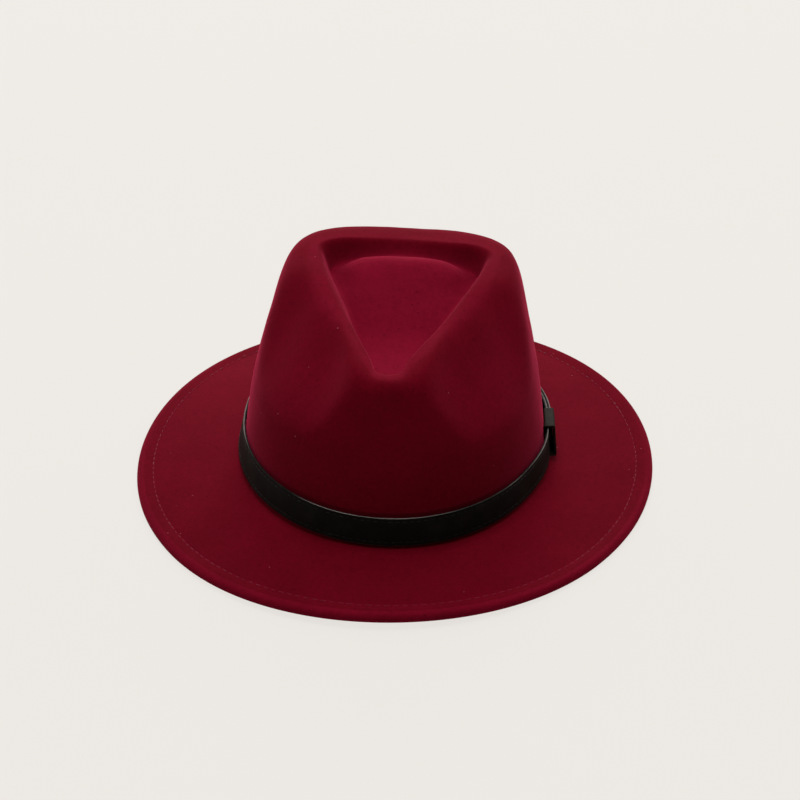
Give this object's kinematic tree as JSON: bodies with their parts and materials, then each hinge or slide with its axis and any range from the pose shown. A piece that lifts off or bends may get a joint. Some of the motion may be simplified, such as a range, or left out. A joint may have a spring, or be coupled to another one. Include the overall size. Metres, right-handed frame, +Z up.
{
  "type": "fedora",
  "caption": "Wool felt fedora with a teardrop dent and pinched front in the crown, a flat brim with its edge folded under, and a leather strap through a keeper",
  "frame": {"origin": "the middle of the bounding box, on the surface that the hat lies on", "axes": "+Z up out of the crown, -Y the way the wearer looks, +X to the viewer's right as the hat is seen from the front"},
  "size_m": [0.289, 0.3214, 0.1183],
  "materials": {
    "wool_felt": "matte wine-red wool felt with a short fuzz",
    "strap_leather": "smooth near-black leather with grey cut edges",
    "keeper_leather": "near-black leather, slightly lighter on its folds"
  },
  "bodies": {
    "root": {"felt_body": "wool_felt", "leather_band": "strap_leather", "band_keeper": "keeper_leather"}
  },
  "joints": []
}
